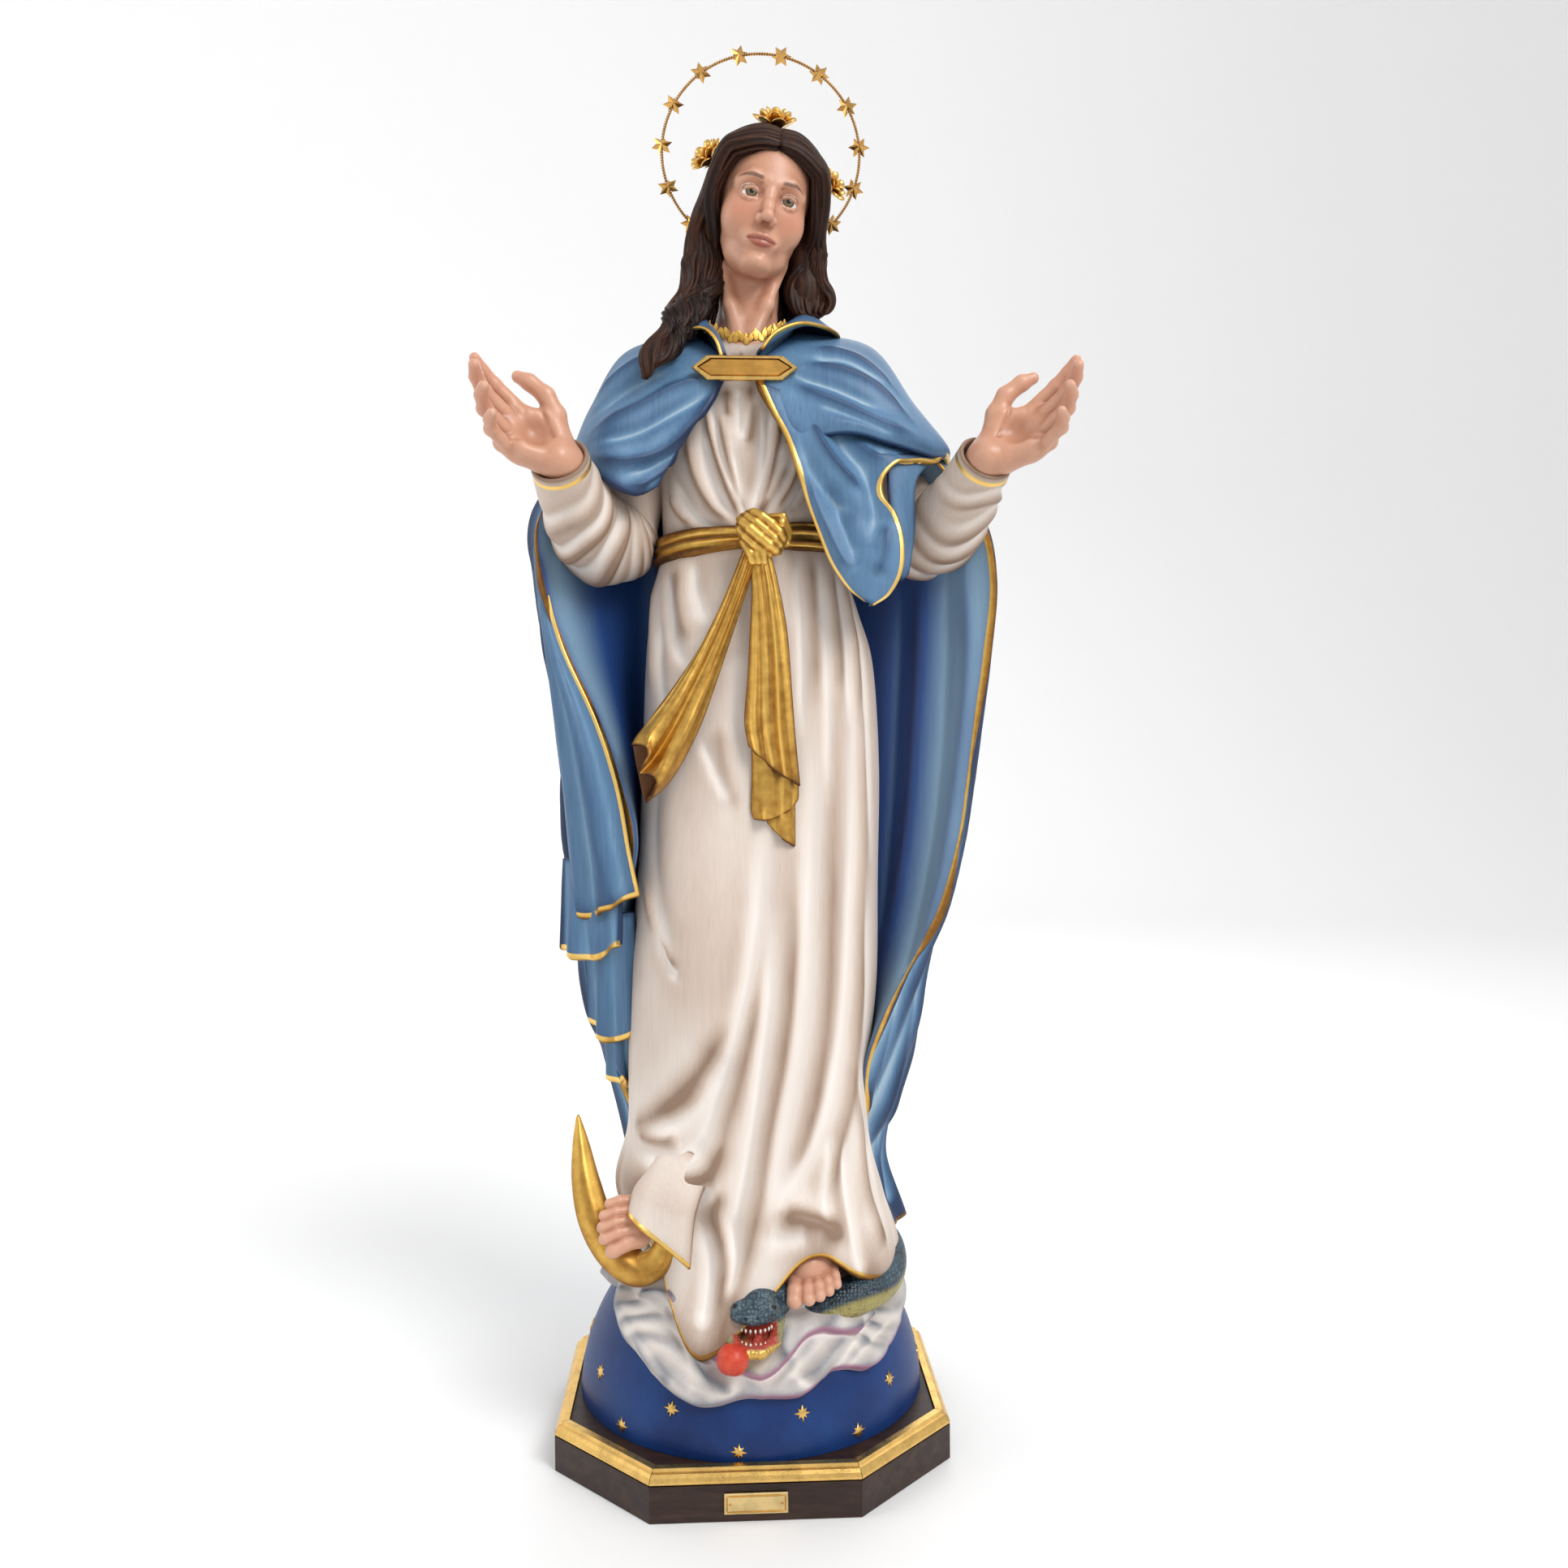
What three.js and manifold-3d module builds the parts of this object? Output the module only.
// Carved and painted Madonna statue with a star halo, in millimetres, +Z up.
// The origin is the middle of the plinth's underside. -Y is the statue's front, +X is to the viewer's
// right.
import * as THREE from "three";
import { mergeVertices } from "three/addons/utils/BufferGeometryUtils.js";
import Module from "manifold-3d";

const wasm = await Module();
wasm.setup();

// Driving dimensions
const plinthWidth = 340;
const plinthCut = 85; // corner cut of the octagon, along each side
const plinthBodyHeight = 29.3; // up to the rebate that holds the moulding
const plinthTop = 38;
const mouldingWidth = 12;
const mouldingTop = 41;
const gap = 0.5; // glue or paint line between neighbouring pieces
const carvingTolerance = 0.2; // flatness kept when a carved piece's faces are merged
const globeRadius = 155;
const globeCentre = 35; // height of the sphere's centre
const globeTop = 150;
const screwCount = 2;
const screwCircle = 90;
const screwRadius = 3;
const screwHeadRadius = 6.5;
const screwHeadDepth = 5;
const screwTip = 78;
const haloRadius = 94.5;
const haloWire = 1.6;
const haloCentre = new THREE.Vector3(19.8, 69, 1184.7);
const starCount = 12;
const starStep = THREE.MathUtils.degToRad(24.5);
const starRadius = 10.5;
const starValley = 5.6;
const starDepth = 3.6;
const stemRadius = 2.5;
const stemLength = 134; // from the ring down to the bottom of its socket
const socketRadius = 4.5;
const socketLength = 48;
const socketPlay = 0.06;
const socketFloor = 3;

const vec = (x, y, z) => new THREE.Vector3(x, y, z);
const vecs = (list) => list.map(([x, y, z]) => vec(x, y, z));

function meshFrom(points, faces) {
  const geometry = new THREE.BufferGeometry();
  const flat = points.flatMap((p) => [p.x, p.y, p.z]);
  geometry.setAttribute("position", new THREE.Float32BufferAttribute(flat, 3));
  geometry.setIndex(faces.flat());
  return geometry;
}

// A closed body through rings of equal length, with a fan at each end.
function loft(rings) {
  const count = rings[0].length;
  const points = rings.flat();
  const faces = [];
  for (let i = 0; i + 1 < rings.length; i++) {
    for (let j = 0; j < count; j++) {
      const k = (j + 1) % count;
      const [a, b, c, d] = [i * count + j, i * count + k, (i + 1) * count + k, (i + 1) * count + j];
      faces.push([a, b, c], [a, c, d]);
    }
  }
  const last = (rings.length - 1) * count;
  for (const [start, turned] of [[0, true], [last, false]]) {
    const middle = vec(0, 0, 0);
    for (let j = 0; j < count; j++) middle.addScaledVector(points[start + j], 1 / count);
    const hub = points.push(middle) - 1;
    for (let j = 0; j < count; j++) {
      const [p, q] = [start + j, start + ((j + 1) % count)];
      faces.push(turned ? [q, p, hub] : [p, q, hub]);
    }
  }
  return solidFrom(meshFrom(points, faces));
}

// Horizontal oval rings: each section is [height, centre x, centre y, half width, half depth].
function ovalLoft(sections, sides, shape = () => [1, 0]) {
  const rings = sections.map(([z, cx, cy, rx, ry], level) =>
    Array.from({ length: sides }, (_, j) => {
      const turn = (2 * Math.PI * j) / sides;
      const [scale, rise] = shape(turn, level);
      return vec(cx + rx * scale * Math.cos(turn), cy + ry * scale * Math.sin(turn), z + rise);
    }),
  );
  return loft(rings);
}

// A tapered tube along a smooth curve. radii are [across, through] at each point; flatTo is the through
// direction.
function tube(points, radii, sides = 10, steps = 12, flatTo = vec(0, -1, 0)) {
  const curve = new THREE.CatmullRomCurve3(vecs(points), false, "centripetal");
  const across = new THREE.CatmullRomCurve3(radii.map(([a, b]) => vec(a, b, 0)));
  const rings = [];
  for (let i = 0; i <= steps; i++) {
    const share = i / steps;
    const centre = curve.getPoint(share);
    const ahead = curve.getTangent(share);
    const side = vec(0, 0, 0).crossVectors(ahead, flatTo).normalize();
    const face = vec(0, 0, 0).crossVectors(side, ahead).normalize();
    const size = across.getPoint(share);
    rings.push(Array.from({ length: sides }, (_, j) => {
      const turn = (2 * Math.PI * j) / sides;
      return centre.clone()
        .addScaledVector(side, Math.max(size.x, 0.4) * Math.cos(turn))
        .addScaledVector(face, Math.max(size.y, 0.4) * Math.sin(turn));
    }));
  }
  const lengths = rings.slice(1).map((ring, i) => {
    const corners = [...rings[i], ...ring];
    return wasm.Manifold.hull(corners.map((corner) => corner.toArray()));
  });
  return wasm.Manifold.union(lengths);
}

// A board of even thickness whose outer face follows a grid of points; inward is the side the thickness
// goes to.
function board(rows, thickness, spans = 2) {
  const grid = rows.map((row) => {
    const line = new THREE.CatmullRomCurve3(vecs(row), false, "centripetal");
    return line.getPoints((row.length - 1) * spans);
  });
  const [high, wide] = [grid.length, grid[0].length];
  const at = (i, j) => grid[Math.min(Math.max(i, 0), high - 1)][Math.min(Math.max(j, 0), wide - 1)];
  const outer = grid.flat();
  const inner = [];
  for (let i = 0; i < high; i++) {
    for (let j = 0; j < wide; j++) {
      const down = at(i + 1, j).clone().sub(at(i - 1, j));
      const along = at(i, j + 1).clone().sub(at(i, j - 1));
      const normal = vec(0, 0, 0).crossVectors(along, down).normalize();
      inner.push(at(i, j).clone().addScaledVector(normal, thickness));
    }
  }
  const points = [...outer, ...inner];
  const faces = [];
  const quad = (a, b, c, d) => faces.push([a, b, c], [a, c, d]);
  const size = high * wide;
  for (let i = 0; i + 1 < high; i++) {
    for (let j = 0; j + 1 < wide; j++) {
      const [a, b, c, d] = [i * wide + j, i * wide + j + 1, (i + 1) * wide + j + 1, (i + 1) * wide + j];
      quad(d, c, b, a);
      quad(a + size, b + size, c + size, d + size);
    }
  }
  for (let j = 0; j + 1 < wide; j++) {
    quad(j, j + 1, j + 1 + size, j + size);
    const k = (high - 1) * wide + j;
    quad(k + 1, k, k + size, k + 1 + size);
  }
  for (let i = 0; i + 1 < high; i++) {
    quad((i + 1) * wide, i * wide, i * wide + size, (i + 1) * wide + size);
    const k = i * wide + wide - 1;
    quad(k, k + wide, k + wide + size, k + size);
  }
  return solidFrom(meshFrom(points, faces));
}

function solidFrom(geometry) {
  const bare = new THREE.BufferGeometry().setAttribute("position", geometry.getAttribute("position"));
  if (geometry.index) bare.setIndex(geometry.index);
  const merged = mergeVertices(bare, 1e-3);
  const mesh = new wasm.Mesh({
    numProp: 3,
    vertProperties: new Float32Array(merged.attributes.position.array),
    triVerts: new Uint32Array(merged.index.array),
  });
  const solid = new wasm.Manifold(mesh);
  if (solid.volume() >= 0) return solid;
  const turned = mesh.triVerts;
  for (let i = 0; i < turned.length; i += 3) {
    [turned[i + 1], turned[i + 2]] = [turned[i + 2], turned[i + 1]];
  }
  const flipped = { numProp: 3, vertProperties: mesh.vertProperties, triVerts: turned };
  return new wasm.Manifold(new wasm.Mesh(flipped));
}

function placed(geometry, move, turn = [0, 0, 0]) {
  const matrix = new THREE.Matrix4().makeRotationFromEuler(new THREE.Euler(...turn));
  matrix.setPosition(...move);
  return solidFrom(geometry.clone().applyMatrix4(matrix));
}

function geometryOf(solid) {
  const mesh = solid.getMesh();
  const positions = new Float32Array(mesh.numVert * 3);
  for (let i = 0; i < mesh.numVert; i++) {
    positions.set(mesh.vertProperties.subarray(i * mesh.numProp, i * mesh.numProp + 3), i * 3);
  }
  const geometry = new THREE.BufferGeometry();
  geometry.setAttribute("position", new THREE.BufferAttribute(positions, 3));
  geometry.setIndex(new THREE.BufferAttribute(mesh.triVerts, 1));
  geometry.computeVertexNormals();
  return geometry;
}

// The solid with every vertex moved out along its normal, used as a cutter that leaves a gap.
function grown(solid, by) {
  const geometry = geometryOf(solid);
  const place = geometry.attributes.position;
  const normal = geometry.attributes.normal;
  for (let i = 0; i < place.count; i++) {
    place.setXYZ(
      i,
      place.getX(i) + normal.getX(i) * by,
      place.getY(i) + normal.getY(i) * by,
      place.getZ(i) + normal.getZ(i) * by,
    );
  }
  return solidFrom(geometry);
}

const largest = (solid) => solid.decompose().reduce((a, b) => (b.volume() > a.volume() ? b : a));

const boxesMeet = (a, b) => {
  const [p, q] = [a.boundingBox(), b.boundingBox()];
  return [0, 1, 2].every((k) => p.min[k] - 1 < q.max[k] && q.min[k] - 1 < p.max[k]);
};

const figure = new THREE.Group();
const base = new THREE.Group();
const halo = new THREE.Group();
const settled = new Map(); // name to solid: the pieces that later pieces are cut back from

function finish(colour, roughness, metalness = 0) {
  return new THREE.MeshStandardMaterial({ color: colour, roughness, metalness });
}

const paint = {
  gold: finish(0xc9962b, 0.3, 1),
  walnut: finish(0x2f221c, 0.45),
  globeBlue: finish(0x103a80, 0.6),
  cloud: finish(0xcabfb8, 0.7),
  cream: finish(0xe0d0c0, 0.65),
  blue: finish(0x6d93b6, 0.6),
  skin: finish(0xc98e6e, 0.45),
  hair: finish(0x2b1710, 0.5),
  serpent: finish(0x5c6f70, 0.4),
  apple: finish(0xe03a18, 0.35),
  brass: finish(0xc8b070, 0.35, 1),
  steel: finish(0x8d8f92, 0.4, 1),
};

// Adds a node. A carved piece is first cut back from the pieces already settled that it meets.
function add(group, name, solid, material, cut = true) {
  let made = solid;
  if (cut) {
    for (const other of settled.values()) {
      if (boxesMeet(made, other)) made = made.subtract(grown(other, gap)).subtract(other);
    }
    made = made.asOriginal().simplify(carvingTolerance);
    for (const other of settled.values()) if (boxesMeet(made, other)) made = made.subtract(other);
    made = solidFrom(geometryOf(largest(made)));
  }
  settled.set(name, made);
  const mesh = new THREE.Mesh(geometryOf(made), material);
  mesh.name = name;
  group.add(mesh);
}

// Cuts a hole in a piece that is already in place.
function bore(group, name, cutter) {
  const made = largest(settled.get(name).subtract(cutter));
  settled.set(name, made);
  group.getObjectByName(name).geometry = geometryOf(made);
}

function octagon(inset) {
  const half = plinthWidth / 2 - inset;
  const cut = plinthCut - inset * (2 - Math.SQRT2);
  const flat = half - cut;
  return [
    [-flat, -half], [flat, -half], [half, -flat], [half, flat],
    [flat, half], [-flat, half], [-half, flat], [-half, -flat],
  ];
}

function octagonSlab(inset, low, high) {
  const shape = new THREE.Shape(octagon(inset).map(([x, y]) => new THREE.Vector2(x, y)));
  const slab = new THREE.ExtrudeGeometry(shape, { depth: high - low, bevelEnabled: false });
  return placed(slab, [0, 0, low]);
}

const screwPlaces = Array.from({ length: screwCount }, (_, i) => {
  const turn = Math.PI / 2 + (2 * Math.PI * i) / screwCount;
  return [screwCircle * Math.cos(turn), screwCircle * Math.sin(turn)];
});

function lathe(profile, sides, move = [0, 0, 0], turn = [Math.PI / 2, 0, 0]) {
  const geometry = new THREE.LatheGeometry(profile.map(([r, h]) => new THREE.Vector2(r, h)), sides);
  return placed(geometry, move, turn);
}

function plinth() {
  let board = octagonSlab(0, 0, plinthBodyHeight).add(octagonSlab(mouldingWidth + gap, 1, plinthTop));
  for (const [x, y] of screwPlaces) {
    const hole = lathe(
      [[0, -1], [screwHeadRadius + 1, -1], [screwHeadRadius + 1, screwHeadDepth + gap],
        [screwRadius + 0.5, screwHeadDepth + gap], [screwRadius + 0.5, plinthTop + 1], [0, plinthTop + 1]],
      12, [x, y, 0]);
    board = board.subtract(hole);
  }
  add(base, "plinth", board, paint.walnut, false);
}

// One mitred length of gold moulding along each side of the octagon.
function mouldings() {
  const profile = [
    [mouldingWidth, plinthBodyHeight + gap], [1, plinthBodyHeight + gap], [0, plinthBodyHeight + 1.3],
    [0, 32.6], [1.2, 35.4], [3.4, 37.6], [5.6, 38.4], [6.2, mouldingTop], [mouldingWidth, mouldingTop],
  ];
  for (let side = 0; side < 8; side++) {
    const ends = [side, (side + 1) % 8].map((corner, end) =>
      profile.map(([inset, z]) => {
        const here = octagon(inset)[corner];
        const there = octagon(inset)[end ? side : (side + 1) % 8];
        const away = new THREE.Vector2(there[0] - here[0], there[1] - here[1]).setLength(gap / 2);
        return vec(here[0] + away.x, here[1] + away.y, z);
      }),
    );
    add(base, `moulding_${side + 1}`, loft(ends), paint.gold, false);
  }
}

function plate() {
  const [width, height, thickness, edge] = [51, 17, 1.5, 0.6];
  const shape = new THREE.Shape([[-1, -1], [1, -1], [1, 1], [-1, 1]].map(
    ([x, y]) => new THREE.Vector2(x * (width / 2 - edge), y * (height / 2 - edge))));
  const slab = new THREE.ExtrudeGeometry(shape, {
    depth: thickness - edge, bevelThickness: edge, bevelSize: edge, bevelSegments: 1, bevelOffset: 0,
  });
  const front = -plinthWidth / 2 - gap - edge;
  add(base, "name_plate", placed(slab, [0, front, 15], [Math.PI / 2, 0, 0]), paint.brass, false);
}

function globe() {
  const profile = [[0, plinthTop + gap]];
  const start = Math.asin((plinthTop + gap - globeCentre) / globeRadius);
  const end = Math.asin((globeTop - globeCentre) / globeRadius);
  for (let i = 0; i <= 6; i++) {
    const lift = start + ((end - start) * i) / 6;
    profile.push([globeRadius * Math.cos(lift), globeCentre + globeRadius * Math.sin(lift)]);
  }
  profile.push([0, globeTop]);
  let body = lathe(profile, 32);
  for (const [x, y] of screwPlaces) {
    const pilot = lathe([[0, 30], [screwRadius + 0.4, 30], [screwRadius + 0.4, screwTip + 1],
      [0, screwTip + 1]], 8, [x, y, 0]);
    body = body.subtract(pilot);
  }
  add(base, "globe", body, paint.globeBlue, false);
}

function screws() {
  screwPlaces.forEach(([x, y], i) => {
    const profile = [
      [0, 0.6], [screwHeadRadius - 1, 0.6], [screwHeadRadius, 1.4], [screwHeadRadius, screwHeadDepth],
      [screwRadius, screwHeadDepth], [screwRadius, screwTip - 6], [0.6, screwTip], [0, screwTip],
    ];
    add(base, `plinth_screw_${i + 1}`, lathe(profile, 10, [x, y, 0]), paint.steel, false);
  });
}

// Cloud bank over the top of the globe: radius and height from the scalloped lower edge up to the middle.
function cloud() {
  const sides = 28;
  const profile = [[153, 104], [151, 122], [144, 142], [128, 157], [104, 166], [60, 172]];
  const rings = [];
  const wave = (turn) => 3.5 * Math.sin(3 * turn + 0.6) + 2.5 * Math.sin(7 * turn + 1.1);
  const edge = (turn) =>
    84 + 9 * Math.cos(turn) * (Math.cos(turn) > 0 ? 1 : -4) + 14 * (1 + Math.sin(turn)) + wave(turn);
  const ringAt = (shape) => Array.from({ length: sides }, (_, j) => {
    const turn = (2 * Math.PI * j) / sides;
    const [r, z] = shape(turn);
    return vec(r * Math.cos(turn), r * Math.sin(turn), z);
  });
  const onSphere = (radius, z) => Math.sqrt(Math.max(radius ** 2 - (z - globeCentre) ** 2, 0));
  rings.push(ringAt(() => [onSphere(globeRadius + 1.8, globeTop), globeTop + gap]));
  rings.push(ringAt((turn) => [onSphere(globeRadius + 1.8, edge(turn) + 14), edge(turn) + 14]));
  rings.push(ringAt((turn) => [onSphere(globeRadius + 1.8, edge(turn)), edge(turn)]));
  rings.push(ringAt((turn) => [onSphere(globeRadius + 8, edge(turn) + 2) + 2, edge(turn) + 3]));
  profile.forEach(([r, z], level) => {
    const share = 1 - level / profile.length;
    rings.push(ringAt((turn) =>
      [r + share * 0.7 * wave(turn + level), z + share * (edge(turn) - 84) * 0.55]));
  });
  add(base, "cloud", loft(rings), paint.cloud);
}

function serpent() {
  const body = tube(
    [[132, 22, 168], [146, -18, 160], [134, -62, 158], [100, -98, 158], [62, -118, 154],
      [30, -130, 150], [14, -137, 147], [0, -146, 141], [-12, -150, 134]],
    [[3, 3], [7, 7], [11, 10], [12, 11], [12, 11], [11, 10], [13, 11], [14, 10], [6, 5]],
     8, 14, vec(0, 0, 1));
  add(base, "serpent", body, paint.serpent);
  const fruit = placed(new THREE.SphereGeometry(13, 12, 8), [-18, -163, 127]);
  add(base, "apple", fruit, paint.apple);
}

function moon() {
  const crescent = tube(
    [[-153, -68, 298], [-149, -76, 268], [-140, -88, 232], [-122, -100, 201], [-98, -106, 186],
      [-78, -102, 196], [-69, -94, 220], [-72, -86, 246]],
    [[0.6, 0.6], [8, 6], [15, 11], [20, 15], [21, 16], [17, 13], [11, 9], [1, 1]], 8, 14);
  add(base, "crescent_moon", crescent, paint.gold);
}

const gownSections = [
  [112, 4, -22, 108, 108], [165, 10, -20, 116, 106], [215, 6, -15, 110, 98], [260, 0, -12, 106, 94],
  [330, 0, -9, 107, 90], [410, 6, -6, 110, 86], [500, 11, -2, 108, 82], [600, 14, 0, 107, 77],
  [690, 14, 0, 104, 72], [745, 9, 0, 92, 65], [788, 4, -2, 80, 58],
];

// How far the gown's lowest ring is lifted above its section, by the angle round the figure.
function hemRise(turn) {
  const degrees = THREE.MathUtils.radToDeg(turn);
  const stops = [[0, 40], [60, 40], [150, 60], [185, 105], [212, 125], [236, 70], [252, 4], [266, 34],
    [284, 62], [306, 50], [330, 38], [360, 40]];
  const after = stops.findIndex(([at]) => at >= degrees);
  if (after <= 0) return stops[0][1];
  const [[a, p], [b, q]] = [stops[after - 1], stops[after]];
  return p + ((q - p) * (degrees - a)) / (b - a);
}

function gown() {
  const rise = (turn, level) =>
    [1 + 0.012 * Math.sin(9 * turn), hemRise(turn) * Math.max(0, 1 - level / 3) ** 1.3];
  add(figure, "gown_skirt", ovalLoft(gownSections, 24, rise), paint.cream);
  const bodice = ovalLoft([
    [788.3, 4, -2, 79, 57], [815, 4, -3, 76, 57], [850, 3, -4, 75, 58], [890, 2, -4, 76, 58],
    [930, 2, 0, 84, 52], [958, 2, 4, 76, 44], [975, 2, 4, 56, 36],
  ], 20);
  add(figure, "gown_bodice", bodice, paint.cream);
}

function sash() {
  const around = [[776, 3, -2, 86, 64], [779, 3, -2, 88, 66], [797, 3, -2, 86, 64.5], [800, 3, -2, 83, 62]];
  add(figure, "sash_belt", ovalLoft(around, 24, (turn) => [1, 6 * Math.cos(turn) + 3]), paint.gold);
  const knot = placed(new THREE.SphereGeometry(1, 12, 8).scale(23, 14, 19), [13, -76, 797], [0, 0.35, 0]);
  add(figure, "sash_knot", knot, paint.gold);
  const front = vec(0, -1, 0);
  const hanging = tube(
    [[16, -82, 781], [20, -88, 740], [21, -92, 690], [20, -95, 640], [22, -98, 590], [28, -100, 545],
     [36, -99, 532]],
    [[8, 6], [14, 7], [18, 7], [21, 7], [22, 8], [18, 8], [5, 5]], 8, 8, front);
  add(figure, "sash_tail_long", hanging, paint.gold);
  const swept = tube(
    [[2, -83, 779], [-18, -93, 735], [-36, -99, 695], [-56, -99, 652], [-74, -96, 616], [-86, -92, 594]],
    [[8, 6], [14, 8], [18, 9], [22, 11], [25, 13], [22, 12]], 8, 8, front);
  add(figure, "sash_tail_swept", swept, paint.gold);
}

const elbow = { left: [-118, -14, 800], right: [162, -12, 806] };
const wrist = { left: [-152, -128, 853], right: [200, -122, 857] };

function arms() {
  const left = tube(
    [[-92, 8, 880], [-112, -2, 825], elbow.left, [-134, -52, 806], [-146, -92, 828], wrist.left],
    [[26, 30], [34, 34], [37, 38], [36, 36], [29, 29], [25, 24]], 10, 8, vec(0, 0, 1));
  add(figure, "sleeve_left", left, paint.cream);
  const right = tube(
    [[112, 8, 885], [146, -2, 832], elbow.right, [178, -48, 812], [192, -88, 834], wrist.right],
    [[26, 30], [32, 34], [35, 36], [34, 34], [28, 28], [24, 23]], 10, 8, vec(0, 0, 1));
  add(figure, "sleeve_right", right, paint.cream);
  for (const side of ["left", "right"]) hand(side);
}

// A half-open hand, palm up and forward: wrist stub, palm and five fingers, each [knuckle, joint, tip,
// radius].
function hand(side) {
  const way = side === "left" ? -1 : 1;
  const [x, y, z] = wrist[side];
  const from = (list) => list.map(([a, b, c]) => [x + way * a, y + b, z + c]);
  let made = tube(
    from([[4, 2, 0.4], [9, -12, 8], [20, -18, 20], [32, -20, 32], [42, -20, 40]]),
    [[15, 13], [16, 12], [24, 12], [25, 11], [20, 9]], 10, 5, vec(way * 0.4, -0.8, -0.4));
  const fingers = [
    [[42, -14, 24], [58, -18, 26], [70, -24, 38], 6.2],
    [[45, -17, 34], [60, -24, 40], [74, -30, 48], 6.4],
    [[43, -19, 44], [60, -22, 54], [78, -24, 62], 6.6],
    [[36, -20, 52], [52, -20, 62], [68, -18, 74], 6.4],
    [[16, -22, 34], [20, -28, 50], [24, -30, 68], 7.2],
  ];
  for (const [knuckle, joint, tip, radius] of fingers) {
    made = made.add(tube(from([knuckle, joint, tip]), [[radius, radius], [radius, radius],
      [radius * 0.6, radius * 0.6]], 6, 3));
  }
  const end = vec(...wrist[side]);
  const inward = vec(...elbow[side]).sub(end).setLength(1);
  const pegAt = (start, length, radius) => {
    const peg = new THREE.CylinderGeometry(radius, radius, length, 10);
    const turn = new THREE.Quaternion().setFromUnitVectors(vec(0, 1, 0), inward);
    const middle = end.clone().addScaledVector(inward, start + length / 2);
    return solidFrom(peg.applyQuaternion(turn).translate(middle.x, middle.y, middle.z));
  };
  bore(figure, `sleeve_${side}`, pegAt(-30, 60, 4.5));
  add(figure, `hand_${side}`, made.subtract(pegAt(-14, 60, 4.5)), paint.skin);
  add(figure, `hand_peg_${side}`, pegAt(-13, 41, 4), paint.cream, false);
}

function feet() {
  const toes = (list, radius) => list.map(([from, to]) => tube([from, to], [[radius, radius],
    [radius * 0.8, radius * 0.7]], 6, 1));
  let right = tube([[48, -70, 182], [50, -92, 176], [54, -110, 169]], [[18, 14], [20, 11], [20, 7]],
    8, 3, vec(0, -0.3, 1));
  for (const toe of toes([
    [[40, -108, 168], [43, -129, 164]], [[49, -110, 168], [54, -128, 164]], [[57, -110, 168],
     [63, -125, 164]], [[65, -108, 168], [71, -121, 164]],
  ], 5.6)) right = right.add(toe);
  add(figure, "foot_left", right, paint.skin);
  let left = tube([[-74, -86, 232], [-92, -100, 231], [-108, -110, 229]], [[16, 15], [18, 12],
    [17, 8]], 8, 3, vec(0, -0.7, 0.7));
  for (const toe of toes([
    [[-106, -116, 219], [-126, -121, 217]], [[-108, -113, 227], [-130, -116, 226]], [[-108, -110, 235],
     [-129, -111, 235]], [[-106, -106, 242], [-124, -105, 243]],
  ], 5.2)) left = left.add(toe);
  add(figure, "foot_right", left, paint.skin);
}

function head() {
  const tilt = [-0.2, 0.2, 0];
  let made = placed(new THREE.SphereGeometry(1, 16, 10).scale(39, 48, 64), [18, -8, 1098], tilt);
  made = made.add(placed(new THREE.SphereGeometry(1, 12, 8).scale(29, 36, 46), [9, -24, 1071], tilt));
  made = made.add(tube([[12, 8, 1070], [6, -2, 1030], [2, -2, 990], [1, -2, 976]], [[27, 27], [26, 26],
    [29, 29], [38, 34]], 12, 4));
  add(figure, "head", made, paint.skin);
}

function hair() {
  const tilt = [-0.2, 0.2, 0];
  let made = placed(new THREE.SphereGeometry(1, 16, 10).scale(49, 53, 67), [20, 6, 1107], tilt);
  const lock = (points, radii) => tube(points, radii, 8, 8, vec(0, -1, 0));
  made = made.add(lock(
    [[-16, 6, 1130], [-34, 2, 1095], [-38, 0, 1060], [-44, 2, 1025], [-50, -6, 995], [-64, -44, 972],
     [-72, -66, 950], [-84, -80, 918]],
    [[12, 30], [14, 32], [14, 30], [15, 22], [15, 16], [11, 9], [9, 7], [2, 2]]));
  made = made.add(lock(
    [[54, 8, 1135], [70, 6, 1100], [68, 6, 1065], [58, 6, 1035], [62, 4, 1010], [70, 0, 1000]],
    [[12, 28], [14, 32], [13, 32], [12, 26], [10, 14], [3, 4]]));
  made = made.add(lock(
    [[16, 36, 1120], [14, 42, 1070], [10, 42, 1030], [8, 42, 1005]],
    [[36, 22], [44, 18], [42, 14], [30, 8]]));
  const faceOpening = placed(new THREE.SphereGeometry(1, 12, 8).scale(35, 46, 62), [15, -47, 1073], tilt);
  add(figure, "hair", made.subtract(faceOpening), paint.hair);
}

function rosettes() {
  const cups = [
    ["rosette_top", [30, -14, 1174], 14.5, [0.1, 0.05, 0]],
    ["rosette_left", [-29, 0, 1152], 11, [0, -0.5, 0]],
    ["rosette_right", [80, -4, 1122], 11, [0, 0.9, 0]],
  ];
  for (const [name, place, size, turn] of cups) {
    const cup = lathe([[0, -0.6], [0.35, -0.5], [0.8, -0.1], [1, 0.35], [0.85, 0.85], [0.45, 1.05],
      [0, 1.1]].map(
      ([r, h]) => [r * size, h * size]), 14, [0, 0, 0]);
    const pin = lathe([[0, -1.2 * size], [2.5, -1.2 * size], [2.5, 0], [0, 0]], 8, [0, 0, 0]);
    const piece = placed(geometryOf(cup.add(pin)), place, turn);
    add(figure, name, piece, paint.gold);
  }
}

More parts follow.
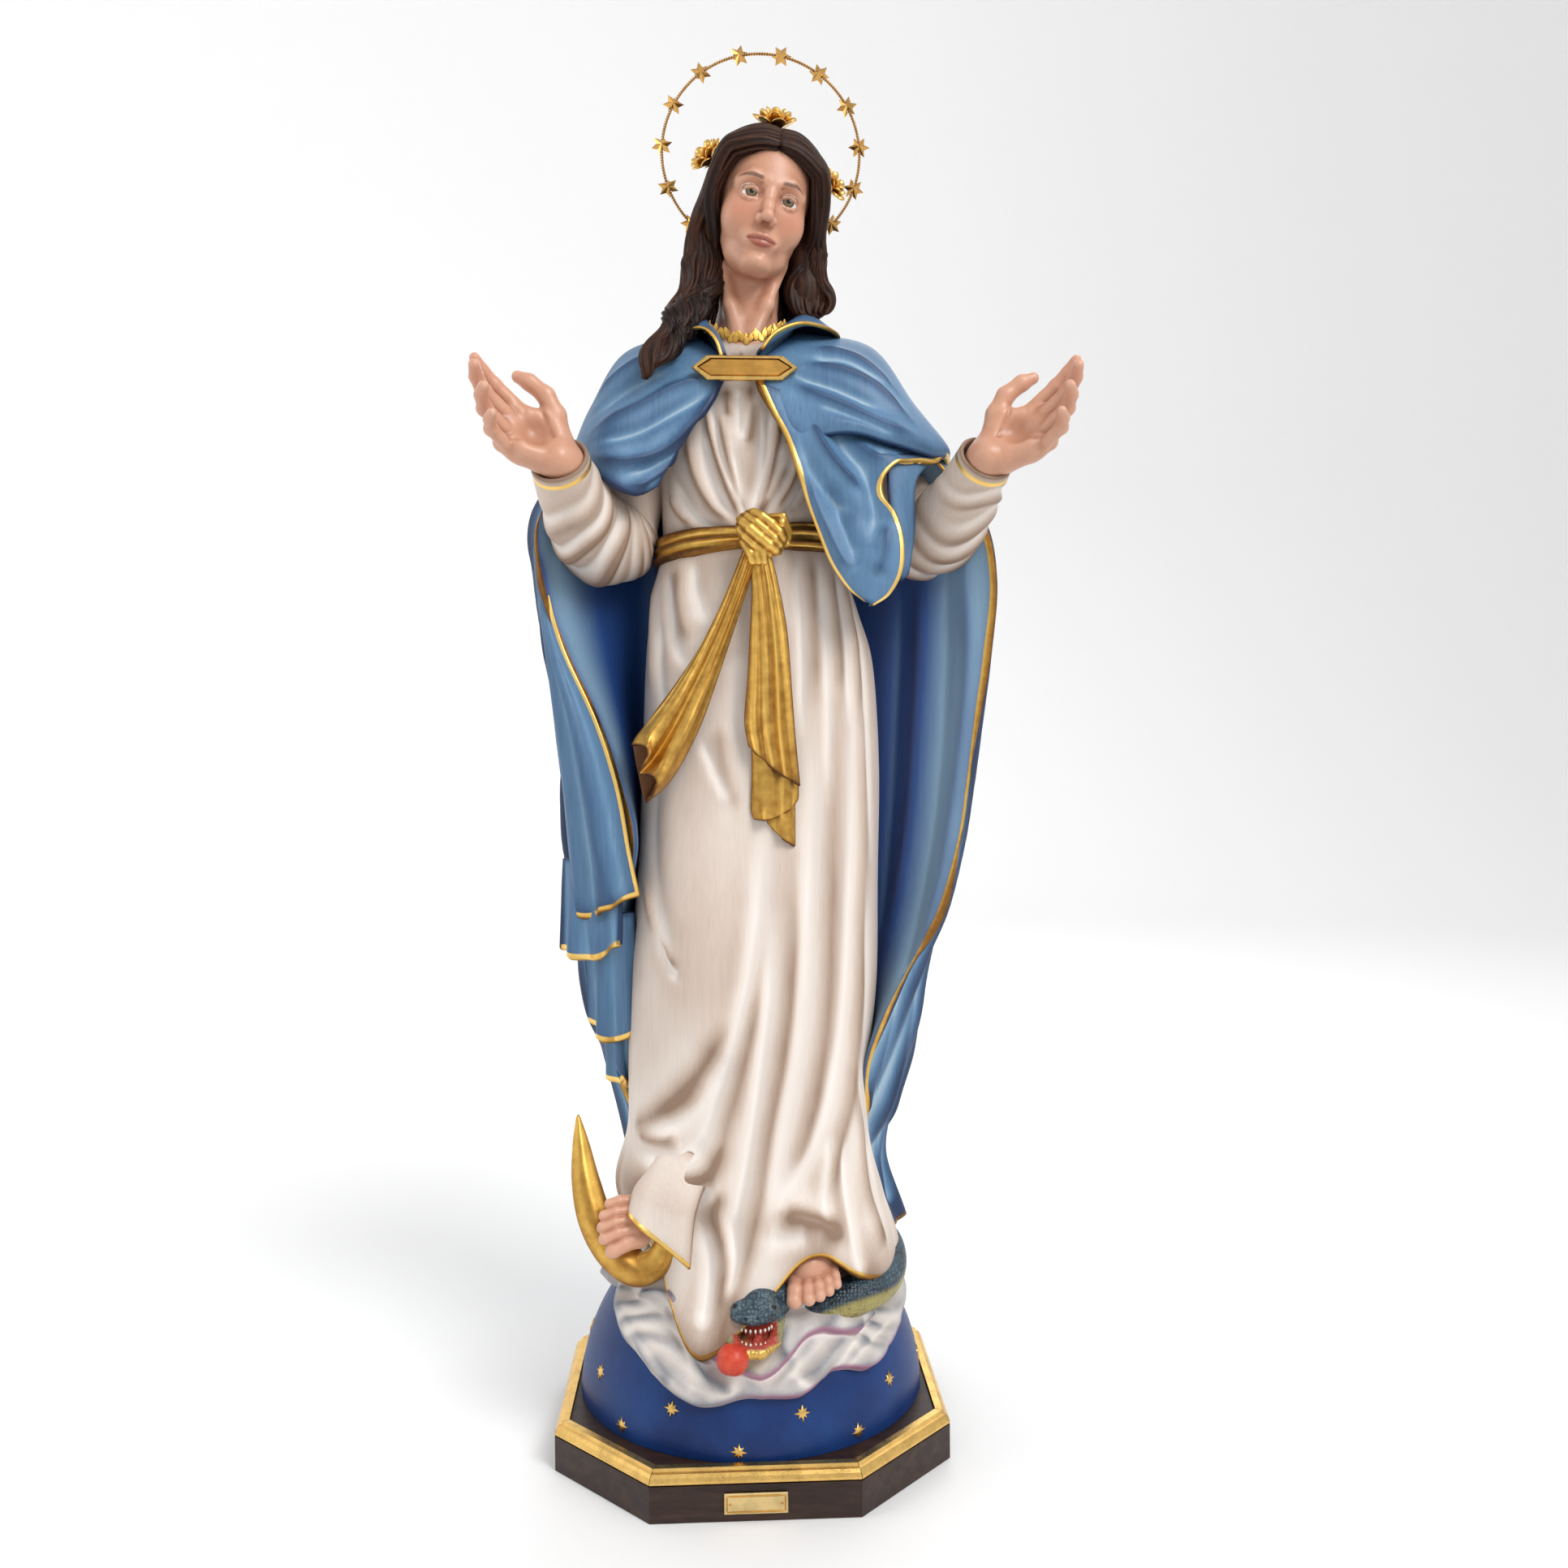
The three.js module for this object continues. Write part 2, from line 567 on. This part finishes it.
function brooch() {
  const outline = (inset) => new THREE.Shape([[-45, 0], [-32, -10], [32, -10], [45, 0], [32, 10],
    [-32, 10]].map(
    ([x, y]) => new THREE.Vector2(x * (1 - inset / 30), y * (1 - inset / 12))));
  const plateOf = (inset, depth) => new THREE.ExtrudeGeometry(outline(inset), {
    depth, bevelThickness: 1, bevelSize: 1, bevelSegments: 1, bevelOffset: -1,
  });
  const place = [0, -78, 938];
  const turn = [Math.PI / 2 + 0.05, 0.02, 0];
  const frame = placed(plateOf(0, 6), place, turn);
  const recess = placed(plateOf(3, 8), [place[0], place[1] - 3.4, place[2]], turn);
  const panel = placed(plateOf(3.6, 1.2), [place[0], place[1] - 4.6, place[2]], turn);
  add(figure, "brooch_frame", frame.subtract(recess), paint.gold);
  add(figure, "brooch_panel", panel, paint.gold);
}

// Rows run from one vertical edge to the other, top row first, seen from outside.
function cape() {
  const left = [
    [[-22, -74, 934], [-38, -66, 952], [-52, -46, 974], [-58, -14, 992], [-46, 24, 1000],
     [-20, 48, 1003], [4, 55, 1004]],
    [[-30, -78, 915], [-62, -74, 930], [-90, -56, 950], [-102, -14, 972], [-90, 34, 978],
     [-52, 66, 984], [4, 76, 988]],
    [[-46, -80, 886], [-82, -84, 896], [-114, -72, 905], [-134, -24, 918], [-126, 36, 925],
     [-78, 82, 935], [4, 97, 940]],
    [[-63, -80, 858], [-94, -90, 858], [-124, -88, 868], [-148, -40, 880], [-150, 30, 880],
     [-98, 88, 886], [4, 106, 890]],
    [[-76, -78, 836], [-98, -88, 828], [-120, -92, 842], [-150, -54, 862], [-164, 20, 850],
     [-112, 88, 836], [4, 110, 832]],
  ];
  const right = [
    [[4.6, 55, 1004], [30, 48, 1003], [56, 24, 1000], [66, -14, 992], [58, -46, 978], [40, -66, 954],
     [16, -75, 934]],
    [[4.6, 76, 988], [62, 66, 984], [102, 34, 980], [114, -14, 976], [98, -56, 956], [66, -76, 930],
     [22, -79, 912]],
    [[4.6, 97, 940], [90, 82, 937], [138, 36, 928], [148, -22, 924], [128, -70, 906], [88, -86, 882],
     [38, -84, 872]],
    [[4.6, 106, 890], [112, 88, 888], [164, 30, 884], [176, -36, 884], [146, -84, 860],
     [104, -92, 828], [54, -85, 822]],
    [[4.6, 110, 832], [124, 88, 840], [180, 20, 856], [184, -52, 868], [128, -94, 828],
     [110, -90, 775], [70, -83, 782]],
    [[4.6, 111, 824], [126, 88, 832], [182, 20, 848], [186, -54, 862], [132, -92, 812],
     [112, -86, 738], [84, -82, 752]],
  ];
  add(figure, "cape_left", board(left, 10), paint.blue);
  add(figure, "cape_right", board(right, 10), paint.blue);
}

function collar() {
  const band = tube(
    [[-22, -70, 957], [-40, -52, 974], [-50, -20, 994], [-38, 24, 1006], [4, 42, 1010], [46, 24, 1006],
     [60, -20, 994], [44, -54, 974], [18, -72, 957]],
    [[7, 3], [8, 3], [9, 3], [9, 3], [9, 3], [9, 3], [9, 3], [8, 3], [7, 3]], 6, 16, vec(0, 0, 1));
  add(figure, "cape_collar", band, paint.blue);
}

function mantle() {
  const heights = [930, 850, 770, 690, 610, 530, 455, 380, 310, 230, 165];
  const left = [
    [[-92, -30], [-132, 0], [-128, 40], [-80, 84]], [[-168, -52], [-186, -12], [-166, 48], [-96, 96]],
    [[-178, -58], [-184, -10], [-160, 56], [-94, 104]], [[-152, -70], [-176, -14], [-152, 54], [-88, 106]],
    [[-118, -80], [-164, -26], [-144, 52], [-84, 106]], [[-98, -84], [-158, -32], [-138, 50], [-80, 106]],
    [[-122, -70], [-164, -22], [-136, 50], [-78, 106]], [[-128, -34], [-146, 4], [-126, 56], [-76, 108]],
    [[-118, -20], [-126, 10], [-116, 56], [-72, 108]],
  ];
  const right = [
    [[90, 84], [140, 40], [146, 0], [104, -30]], [[112, 96], [190, 48], [214, -8], [202, -46]],
    [[116, 104], [192, 54], [220, 0], [214, -44]], [[112, 106], [188, 56], [216, 0], [212, -40]],
    [[108, 107], [176, 56], [206, 0], [202, -42]], [[104, 108], [164, 58], [194, -2], [188, -48]],
    [[102, 109], [150, 60], [178, 4], [160, -40]], [[100, 110], [140, 66], [160, 20], [134, -20]],
    [[98, 110], [132, 70], [146, 26], [126, -8]], [[94, 108], [120, 72], [128, 34], [114, 4]],
    [[96, 104], [132, 76], [146, 34], [134, 2]],
  ];
  const back = heights.map((z, i) => {
    const reach = i === 0 ? 82 : Math.min(98 + i * 1.5, 108);
    const [leftEdge, rightEdge] = [left[Math.min(i, left.length - 1)][3], right[i][0]];
    return [[leftEdge[0] + 0.4, leftEdge[1] + 0.2, z], [-30, reach + 10, z], [8, reach + 14, z],
      [50, reach + 12, z], [rightEdge[0] - 0.4, rightEdge[1] + 0.2, z]];
  });
  const rowsOf = (plan) => plan.map((row, i) => row.map(([x, y]) => [x, y, heights[i]]));
  add(figure, "mantle_left", board(rowsOf(left), 9), paint.blue);
  add(figure, "mantle_right", board(rowsOf(right), 9), paint.blue);
  add(figure, "mantle_back", board(back, 9), paint.blue);
}

const socketTop = haloCentre.z - haloRadius - stemLength + socketLength;

function haloSocket() {
  const floor = socketTop - socketLength;
  const bore = stemRadius + socketPlay;
  const profile = [[0, floor - socketFloor], [socketRadius, floor - socketFloor],
    [socketRadius, socketTop], [bore, socketTop], [bore, floor], [0, floor]];
  return lathe(profile, 24, [haloCentre.x, haloCentre.y, 0]);
}

// The room that the socket, and above it the stem, take up in the carved pieces.
function stemWay() {
  const [wide, narrow] = [socketRadius + gap / 2, stemRadius + 1];
  const [low, high] = [socketTop - socketLength - socketFloor - gap, haloCentre.z - haloRadius - 1];
  const profile = [[0, low], [wide, low], [wide, socketTop], [narrow, socketTop], [narrow, high],
    [0, high]];
  return lathe(profile, 12, [haloCentre.x, haloCentre.y, 0]);
}

function star() {
  const outline = Array.from({ length: 12 }, (_, i) => {
    const reach = i % 2 ? starValley : starRadius;
    return vec(reach * Math.cos((i * Math.PI) / 6), 0, reach * Math.sin((i * Math.PI) / 6));
  });
  const points = [...outline, vec(0, -starDepth, 0), vec(0, starDepth, 0)];
  const faces = outline.flatMap((_, i) => [[i, (i + 1) % 12, 12], [(i + 1) % 12, i, 13]]);
  return solidFrom(meshFrom(points, faces));
}

function makeHalo() {
  halo.position.copy(haloCentre);
  const bead = haloWire + gap;
  let ring = placed(new THREE.TorusGeometry(haloRadius, haloWire, 6, 48), [0, 0, 0], [Math.PI / 2, 0, 0]);
  const stem = lathe([[0, 0], [stemRadius, 0], [stemRadius, stemLength - haloWire],
    [0, stemLength - haloWire]], 24, [0, 0, -haloRadius - stemLength + gap]);
  ring = ring.subtract(grown(stem, 0.5));
  add(halo, "halo_ring", ring, paint.gold, false);
  add(halo, "halo_stem", stem, paint.gold, false);
  const threading = placed(new THREE.TorusGeometry(haloRadius, bead, 6, 48), [0, 0, 0],
    [Math.PI / 2, 0, 0]);
  for (let i = 0; i < starCount; i++) {
    const turn = (i - (starCount - 1) / 2) * starStep;
    const move = [haloRadius * Math.sin(turn), 0, haloRadius * Math.cos(turn)];
    const made = placed(geometryOf(star()), move, [0, 0.35 * Math.sin(i * 2.1), 0]).subtract(threading);
    const mesh = new THREE.Mesh(geometryOf(largest(made).translate(-move[0], 0, -move[2])), paint.gold);
    mesh.name = `star_${i + 1}`;
    mesh.position.set(...move);
    halo.add(mesh);
  }
}

plinth();
mouldings();
plate();
globe();
screws();
cloud();
moon();
feet();
serpent();
gown();
const socket = haloSocket();
settled.set("halo_way", stemWay());
sash();
arms();
head();
brooch();
hair();
rosettes();
collar();
cape();
mantle();
const socketMesh = new THREE.Mesh(geometryOf(socket), paint.brass);
socketMesh.name = "halo_socket";
figure.add(socketMesh);
makeHalo();

const statue = new THREE.Group();
statue.add(base, figure, halo);
export default statue;
